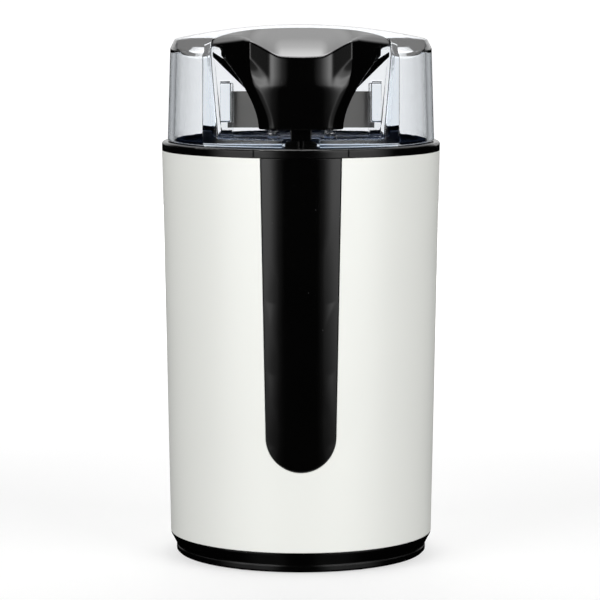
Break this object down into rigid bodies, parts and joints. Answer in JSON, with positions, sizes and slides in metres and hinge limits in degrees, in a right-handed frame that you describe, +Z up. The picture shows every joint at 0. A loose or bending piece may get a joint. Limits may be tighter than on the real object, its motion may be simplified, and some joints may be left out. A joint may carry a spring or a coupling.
{
  "type": "electric spice grinder",
  "caption": "Upright electric spice grinder with a tapered casing, a clear lid, a press lever that closes a switch, and a steel bowl with a motor-driven blade.",
  "frame": {"origin": "centre of the grinder's footprint, on the surface it stands on", "axes": "+Z up along the motor shaft, -Y towards the front with the lever and the black strip, +X to the right seen from the front"},
  "size_m": [0.0948, 0.0948, 0.1816],
  "materials": {
    "black_gloss": "gloss",
    "black_rubber": "matte",
    "black_satin": "satin",
    "blade_steel": "ground",
    "bowl_steel": "brushed",
    "brass": "stamped",
    "bronze": "sintered",
    "carbon": "matte",
    "cast_zinc": "cast",
    "clear_plastic": "clear",
    "copper": "enamelled wire",
    "core_steel": "stamped sheets",
    "film_yellow": "gloss",
    "guide_grey": "satin",
    "housing_black": "matte",
    "ivory_paint": "gloss",
    "screw_steel": "zinc plated",
    "spring_steel": "drawn wire",
    "switch_black": "satin",
    "switch_red": "satin",
    "white_nylon": "satin"
  },
  "bodies": {
    "casing": {"outer_sleeve": "ivory_paint", "inner_housing": "housing_black", "front_strip": "black_gloss", "collar": "black_satin", "collar_screws": "screw_steel", "base_cover": "black_satin", "base_screws": "screw_steel", "rubber_feet": "black_rubber", "cord_bush": "black_rubber", "grinding_bowl": "bowl_steel", "shaft_seal": "black_rubber", "stator_core": "core_steel", "field_coils": "copper", "upper_bracket": "cast_zinc", "lower_bracket": "cast_zinc", "upper_bearing": "bronze", "lower_bearing": "bronze", "brush_holders": "brass", "carbon_brushes": "carbon", "motor_screws": "screw_steel", "rubber_mounts": "black_rubber", "capacitor": "film_yellow", "plunger_spring": "spring_steel", "switch_body": "switch_black", "switch_screws": "screw_steel"},
    "rotor": {"motor_shaft": "blade_steel", "armature_core": "core_steel", "armature_winding": "copper", "commutator": "copper", "cooling_fan": "white_nylon", "blade": "blade_steel", "blade_spacer": "blade_steel", "blade_nut": "blade_steel"},
    "plunger": {"switch_plunger": "black_satin"},
    "leaf": {"switch_leaf": "spring_steel"},
    "button": {"switch_button": "switch_red"},
    "lid": {"clear_lid": "clear_plastic", "lever_springs": "spring_steel"},
    "lever": {"press_lever": "black_gloss", "lever_guide": "guide_grey", "lever_screws": "screw_steel"}
  },
  "joints": [
    {"name": "lid_lift", "type": "slide", "parent": "casing", "child": "lid", "axis": [0, 0, 1], "range_m": [0, 0.07]},
    {"name": "lever_press", "type": "slide", "parent": "lid", "child": "lever", "axis": [0, 0, -1], "range_m": [0, 0.0022], "stiffness_N_per_m": 700, "springref_m": -0.003, "deforming": ["lever_springs"]},
    {"name": "plunger_press", "type": "slide", "parent": "casing", "child": "plunger", "axis": [0, 0, -1], "range_m": [0, 0.0022], "stiffness_N_per_m": 300, "springref_m": -0.002, "deforming": ["plunger_spring"]},
    {"name": "leaf_press", "type": "hinge", "parent": "casing", "child": "leaf", "pos_m": [-0.012, -0.03725, 0.1174], "axis": [0, 1, 0], "range_deg": [0, 10.6]},
    {"name": "button_press", "type": "slide", "parent": "casing", "child": "button", "axis": [0, 0, -1], "range_m": [0, 0.001], "stiffness_N_per_m": 200, "springref_m": -0.001},
    {"name": "rotor_spin", "type": "hinge", "parent": "casing", "child": "rotor", "pos_m": [0, 0, 0], "axis": [0, 0, 1], "continuous": true}
  ],
  "couplings": [
    {"joint": "plunger_press", "follows": "lever_press", "ratio": 1},
    {"joint": "leaf_press", "follows": "lever_press", "rad_per_m": 83.333},
    {"joint": "button_press", "follows": "lever_press", "ratio": 0.45}
  ]
}
